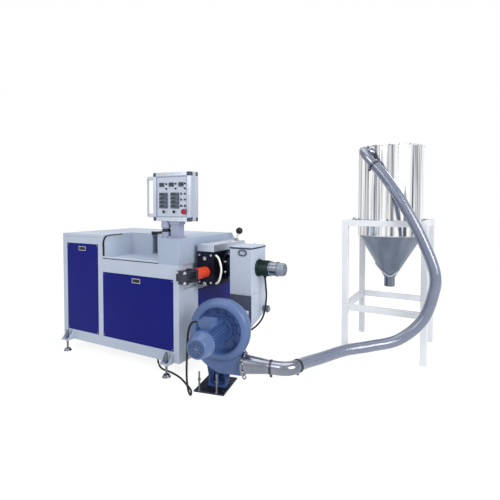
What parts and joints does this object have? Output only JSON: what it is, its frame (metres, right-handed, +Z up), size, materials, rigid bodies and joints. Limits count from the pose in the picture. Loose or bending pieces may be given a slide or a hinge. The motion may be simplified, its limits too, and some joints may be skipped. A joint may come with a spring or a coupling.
{
  "type": "plastic pelletizing machine",
  "caption": "Plastic pelletizing line: extruder cabinet with feed tray and control box, die end with cutter hood, blower, flexible hose and a steel storage silo on its stand.",
  "frame": {"origin": "on the floor, under the middle of the line's outline, hose and cables left out", "axes": "+X runs along the cabinet's front from the drive end to the silo, +Y to the back, +Z up"},
  "size_m": [3.407, 2.4676, 2.03],
  "materials": {
    "frame_paint": "satin light blue-grey paint",
    "panel_paint": "satin navy blue paint",
    "dark_steel": "dark oiled steel",
    "bright_steel": "bright steel",
    "aluminium": "anodised aluminium",
    "dark_plastic": "dark plastic",
    "red_plastic": "red plastic",
    "ram_paint": "orange-red enamel",
    "sleeve": "white glass-fibre sleeve",
    "motor_paint": "dark green enamel",
    "blower_paint": "steel-blue enamel",
    "stainless": "polished stainless steel",
    "white_paint": "white paint",
    "hose_plastic": "translucent wire-reinforced PVC",
    "cable_rubber": "black rubber sheath"
  },
  "bodies": {
    "root": {"frame_posts": "frame_paint", "frame_rails": "frame_paint", "die_end_plates": "frame_paint", "front_fascia": "frame_paint", "drive_cover": "frame_paint", "rear_cover": "frame_paint", "feed_tray": "frame_paint", "die_end_housing": "frame_paint", "foot_brackets": "frame_paint", "control_column": "frame_paint", "cutter_hood": "frame_paint", "hood_lid": "frame_paint", "pellet_chute": "frame_paint", "suction_duct": "frame_paint", "drive_panel": "panel_paint", "barrel_panel": "panel_paint", "plain_panels": "panel_paint", "die_end_panel": "panel_paint", "feed_throat": "dark_steel", "screen_changer": "dark_steel", "die_head": "dark_steel", "blower_plate": "dark_steel", "clamp_lever": "dark_steel", "cable_duct": "bright_steel", "panel_pulls": "bright_steel", "levelling_feet": "bright_steel", "changer_cover": "bright_steel", "hood_latch": "bright_steel", "air_stub": "bright_steel", "blower_studs": "bright_steel", "hose_clamps": "bright_steel", "ram_caps": "bright_steel", "control_box": "aluminium", "control_handle": "aluminium", "control_face": "aluminium", "control_box_corners": "dark_plastic", "control_instruments": "dark_plastic", "cable_glands": "dark_plastic", "emergency_stop": "red_plastic", "screen_ram": "ram_paint", "heater_sleeve": "sleeve", "cutter_motor": "motor_paint", "blower_casing": "blower_paint", "blower_motor": "blower_paint", "fan_cover": "blower_paint", "terminal_box": "blower_paint", "blower_stand": "blower_paint", "outlet_pipe": "stainless", "silo_shell": "stainless", "silo_cone": "stainless", "silo_outlet": "stainless", "silo_inlet": "stainless", "silo_stand": "white_paint", "conveying_hose": "hose_plastic", "blower_cable": "cable_rubber", "cutter_cable": "cable_rubber"}
  },
  "joints": []
}
